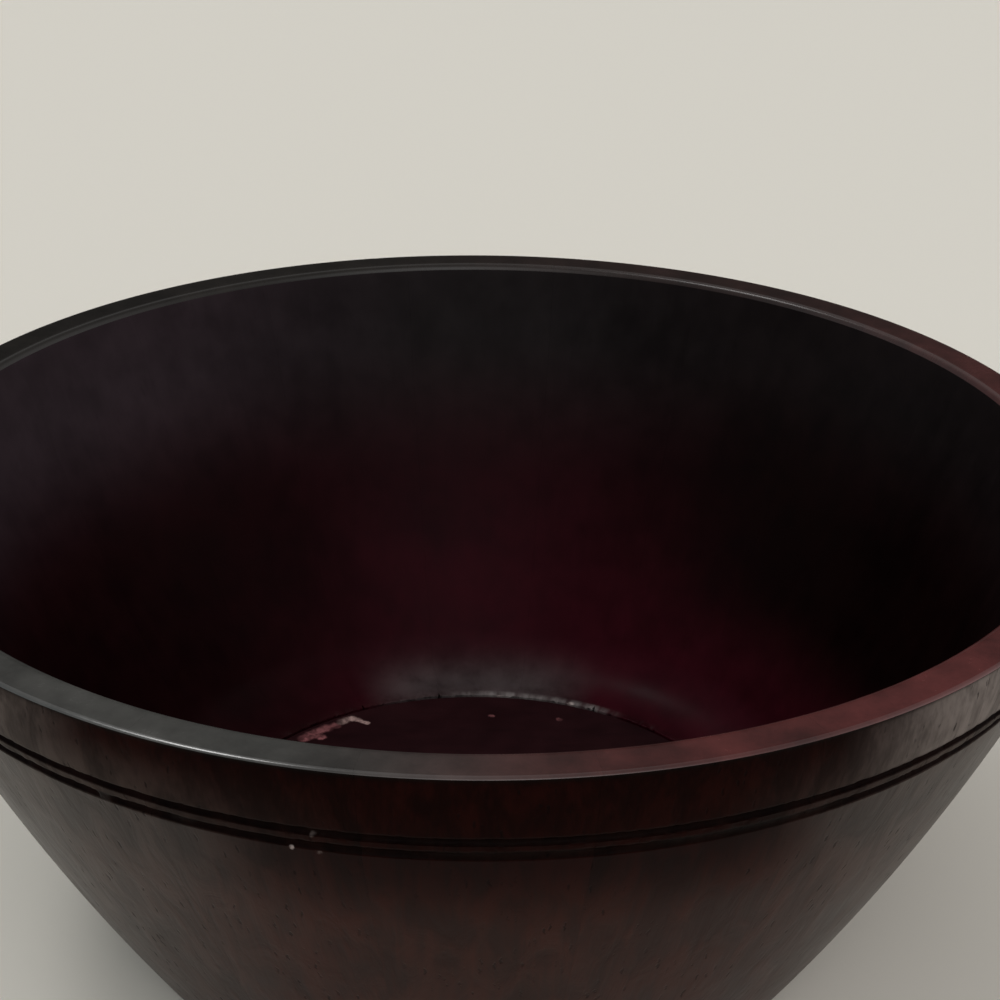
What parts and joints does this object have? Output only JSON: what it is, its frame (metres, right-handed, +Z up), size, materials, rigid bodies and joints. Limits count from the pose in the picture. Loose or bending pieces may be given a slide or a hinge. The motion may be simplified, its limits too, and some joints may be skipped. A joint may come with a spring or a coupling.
{
  "type": "wooden salad bowl",
  "caption": "Round flared salad bowl of dark stained wood, built of mitred staves, with a flat rim, a lip over turned grooves, and a floor board let into the foot.",
  "frame": {"origin": "centre of the foot, in the plane that the bowl rests on", "axes": "+Z up along the bowl's axis, -Y towards the middle of the first stave"},
  "size_m": [0.34, 0.34, 0.14],
  "materials": {
    "stave_wood": "dark espresso stain with a satin clear coat",
    "floor_wood": "dark reddish stain with a worn satin clear coat"
  },
  "bodies": {
    "root": {"stave_01": "stave_wood", "stave_02": "stave_wood", "stave_03": "stave_wood", "stave_04": "stave_wood", "stave_05": "stave_wood", "stave_06": "stave_wood", "stave_07": "stave_wood", "stave_08": "stave_wood", "stave_09": "stave_wood", "stave_10": "stave_wood", "stave_11": "stave_wood", "stave_12": "stave_wood", "stave_13": "stave_wood", "stave_14": "stave_wood", "stave_15": "stave_wood", "stave_16": "stave_wood", "stave_17": "stave_wood", "stave_18": "stave_wood", "stave_19": "stave_wood", "stave_20": "stave_wood", "floor_board": "floor_wood"}
  },
  "joints": []
}
